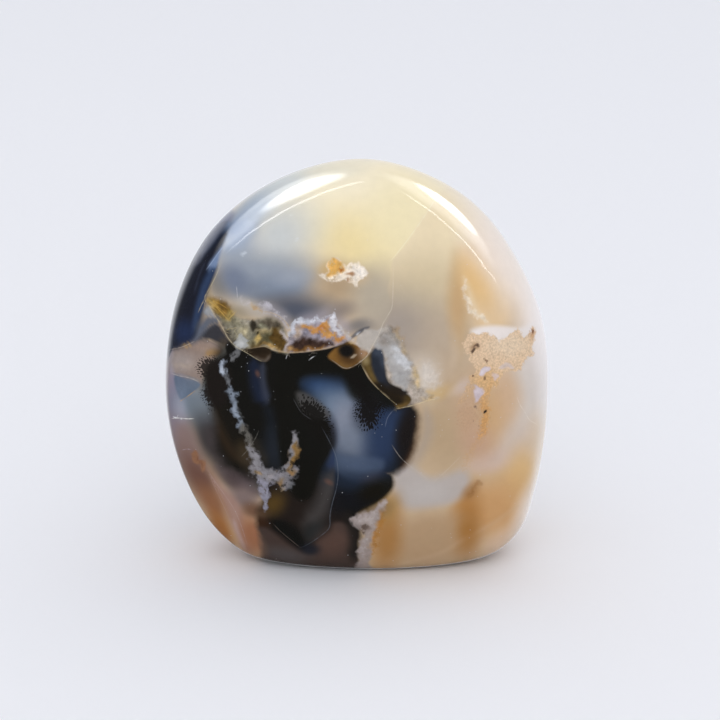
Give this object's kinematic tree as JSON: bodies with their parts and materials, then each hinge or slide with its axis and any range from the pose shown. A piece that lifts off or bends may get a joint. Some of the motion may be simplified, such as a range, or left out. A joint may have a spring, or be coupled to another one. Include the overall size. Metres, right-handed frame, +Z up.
{
  "type": "dendritic opal freeform",
  "caption": "Thick rounded polished stone with a domed ground face at the front and back and a small flat foot that it stands on.",
  "frame": {"origin": "on the table, at the middle of the stone's overall width and depth", "axes": "+Z up from the flat foot, -Y out of the domed front face, +X to the right as seen from the front"},
  "size_m": [0.0508, 0.0298, 0.0543],
  "materials": {
    "dendritic_opal": "polished"
  },
  "bodies": {
    "root": {"opal_freeform": "dendritic_opal"}
  },
  "joints": []
}
